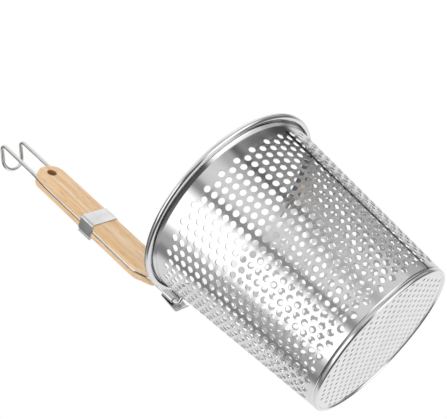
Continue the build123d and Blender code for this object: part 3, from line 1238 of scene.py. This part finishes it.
@dataclass
class Studio:
    """Plain pale floor, and a white room with soft panels and flags round the object."""

    panels: tuple[Panel, ...] = (
        Panel(0, 400, 0.34, 27, 100, soft_ends=9),          # dim ceiling
        Panel(5, 110, 0.13, 25, 64, soft=20, soft_ends=5),  # its dark part, over the handle
        Panel(208, 96, 1.15, 25, 66, soft=16, soft_ends=5),  # its lit part, opposite
        Panel(120, 70, 0.75, 30, 66, soft=30, soft_ends=12),
        Panel(0, 400, 1.2, 66, 100, soft_ends=16),          # lit middle of the ceiling
        Panel(0, 400, 0.95, -100, -8),                      # light ground behind the object
        Panel(68, 126, 0.09, -62, -5, soft=14),             # dark ground in front of it
        Panel(-133, 60, 0.18, -62, -5, soft=16),
        Panel(-180, 130, 0.52, soft=26),                    # grey wall
        Panel(27, 36, 0.45, soft=12),                       # flags left of the key panel
        Panel(19, 15, 0.26, soft=8),
        Panel(74, 42, 1.5, -4, 36, soft=9),                 # key panel
        Panel(106, 12, 0.30, soft=7),                       # flags and panels right of it
        Panel(129, 25, 0.80, soft=12),
        Panel(178, 46, 0.78, -60, 9, soft=12, soft_ends=7),
        Panel(162, 12, 0.12, 12, 25, soft=8, soft_ends=5),
        Panel(184, 34, 0.26, 15, 25, soft=14, soft_ends=5),
        Panel(-122, 15, 0.32, -6, 25, soft=9, soft_ends=5),
        Panel(-140, 30, 0.28, 16, 25, soft=14, soft_ends=5),
        Panel(210, 64, 0.06, 19.5, 26, soft=12, soft_ends=3),
        Panel(165, 58, 1.35, -60, -7, soft=14, soft_ends=5),  # lit ground to the left of the camera
    )
    around: float = 0.84          # the room between the panels, as bright metal shows it
    even: float = 0.88            # the room as rough surfaces see it
    lamp_power: float = 0.9
    lamp_size: float = 0.9
    lamp_place: tuple[float, float, float] = (-0.35, 0.75, 0.95)
    lamp_aim: tuple[float, float, float] = (0.02, 0.0, 0.12)
    floor_size: float = 4.0
    floor_drop: float = 0.3 * MM
    floor_colour: Colour = (0.92, 0.92, 0.92)
    floor_glow: float = 0.35

    def room(self) -> None:
        """World: white for the camera, even for rough surfaces, panels and flags for bright metal."""
        world = bpy.data.worlds.new("room")
        bpy.context.scene.world = world
        world.use_nodes = True
        world.node_tree.nodes.clear()
        tree = Tree(world.node_tree)
        x, y, z = tree.split(tree.add("ShaderNodeTexCoord").outputs["Generated"])
        azimuth = y.maths("ARCTAN2", x) * math.degrees(1)
        height = z.maths("ARCSINE") * math.degrees(1)
        constant = tree.quantity(tree.add("ShaderNodeValue").outputs[0])
        constant.socket.default_value = 1.0
        seen = constant * self.around
        for panel in self.panels:
            off = ((azimuth - panel.azimuth + 180.0).rest(360.0) - 180.0).size()
            beside = tree.step(off, (panel.width - panel.soft) / 2, (panel.width + panel.soft) / 2)
            ends = panel.soft_ends / 2
            over = tree.step(height, panel.low - ends, panel.low + ends)
            under = tree.step(height * -1.0, -panel.high - ends, -panel.high + ends)
            seen = seen.blend(constant * panel.level, beside.flipped() * over * under)
        path = tree.add("ShaderNodeLightPath")
        rough, camera = (tree.quantity(path.outputs[name]) for name in ("Is Diffuse Ray", "Is Camera Ray"))
        level = seen.blend(constant * self.even, rough).blend(constant, camera)
        background = tree.add("ShaderNodeBackground", Color=(1, 1, 1), Strength=level)
        tree.add("ShaderNodeOutputWorld", Surface=background.outputs[0])

    def lamp(self) -> None:
        """One broad soft lamp, high in front, that shapes the wood and drops the floor's shadow."""
        light = bpy.data.lights.new("soft_panel", "AREA")
        light.shape = "DISK"
        light.size = self.lamp_size
        light.energy = self.lamp_power
        lamp = bpy.data.objects.new("soft_panel", light)
        place = Vector(self.lamp_place)
        turn = (Vector(self.lamp_aim) - place).to_track_quat("-Z", "Y").to_matrix().to_4x4()
        lamp.matrix_world = Matrix.Translation(place) @ turn
        lamp.visible_glossy = False
        lamp.visible_camera = False
        bpy.context.scene.collection.objects.link(lamp)

    def floor(self) -> None:
        """Pale floor that takes the object's shadow and can't be seen from below."""
        half = self.floor_size / 2
        mesh = bpy.data.meshes.new("floor")
        corners = [(-half, -half), (half, -half), (half, half), (-half, half)]
        mesh.from_pydata([(x, y, -self.floor_drop) for x, y in corners], [], [(0, 1, 2, 3)])
        plane = bpy.data.objects.new("floor", mesh)
        bpy.context.scene.collection.objects.link(plane)
        for rays in ("glossy", "diffuse", "transmission", "shadow"):
            setattr(plane, f"visible_{rays}", False)
        material = bpy.data.materials.new("floor_paper")
        material.use_nodes = True
        material.node_tree.nodes.clear()
        tree = Tree(material.node_tree)

        def mixed(*parts: object) -> Socket:
            """Two shaders mixed by a factor, which comes first."""
            node = tree.add("ShaderNodeMixShader")
            for socket, part in zip(node.inputs, parts):
                tree.feed(socket, part)
            return node.outputs[0]

        paper = tree.add("ShaderNodeBsdfDiffuse", Color=self.floor_colour).outputs[0]
        glow = tree.add("ShaderNodeEmission", Color=(1, 1, 1)).outputs[0]
        clear = tree.add("ShaderNodeBsdfTransparent").outputs[0]
        from_below = tree.add("ShaderNodeNewGeometry").outputs["Backfacing"]
        one_sided = mixed(from_below, mixed(self.floor_glow, paper, glow), clear)
        tree.add("ShaderNodeOutputMaterial", Surface=one_sided)
        mesh.materials.append(material)

    def build(self) -> None:
        """Builds the room, the lamp and the floor."""
        bpy.context.scene.view_settings.view_transform = "Standard"
        self.room()
        self.lamp()
        self.floor()
        log.info("studio: %d panels and flags", len(self.panels))


# ---------------------------------------------------------------- the whole


def main() -> None:
    """Builds the studio and every piece, in order."""
    logging.basicConfig(level=logging.INFO, format="%(name)s: %(message)s")
    Camera().build()
    Studio().build()
    bright, worn = (0.80, 0.80, 0.81), (0.74, 0.74, 0.75)
    sheet_steel = SteelFinish("sheet_steel", bright, worn, 0.09, 0.17).make()
    # the wall's seam line is painted shade in the gap between the lapped edges
    wall_steel = SteelFinish("seamed_sheet_steel", bright, worn, 0.09, 0.17, seam=SeamGapShade(), inside=Inside()).make()
    wire_steel = SteelFinish("drawn_wire_steel", (0.80, 0.80, 0.80), (0.70, 0.70, 0.70), 0.12, 0.24,
                             mark_scale=(500.0, 500.0, 20.0)).make()
    band_steel = SteelFinish("satin_band_steel", (0.78, 0.78, 0.78), (0.68, 0.68, 0.68), 0.22, 0.34).make()
    line = HandleLine()
    # its bore colour is painted shade in the hanging hole
    grip_wood = WoodFinish("pale_grip_wood", pale=(0.96, 0.74, 0.51), tan=(0.84, 0.53, 0.26),
                           pore=(0.52, 0.27, 0.11), bore=(0.36, 0.14, 0.05)).make(line.axes, line.start)
    cone = Cone()
    Wall(cone).build(wall_steel)
    Base(cone).build(sheet_steel)
    wire = HandleWire(cone, line)
    wire.build(wire_steel)
    for side in Side:
        Scale(side, line, wire).build(grip_wood)
    Band(line).build(band_steel)
    Bracket(line, wire).build(band_steel)


if __name__ == "__main__":
    main()
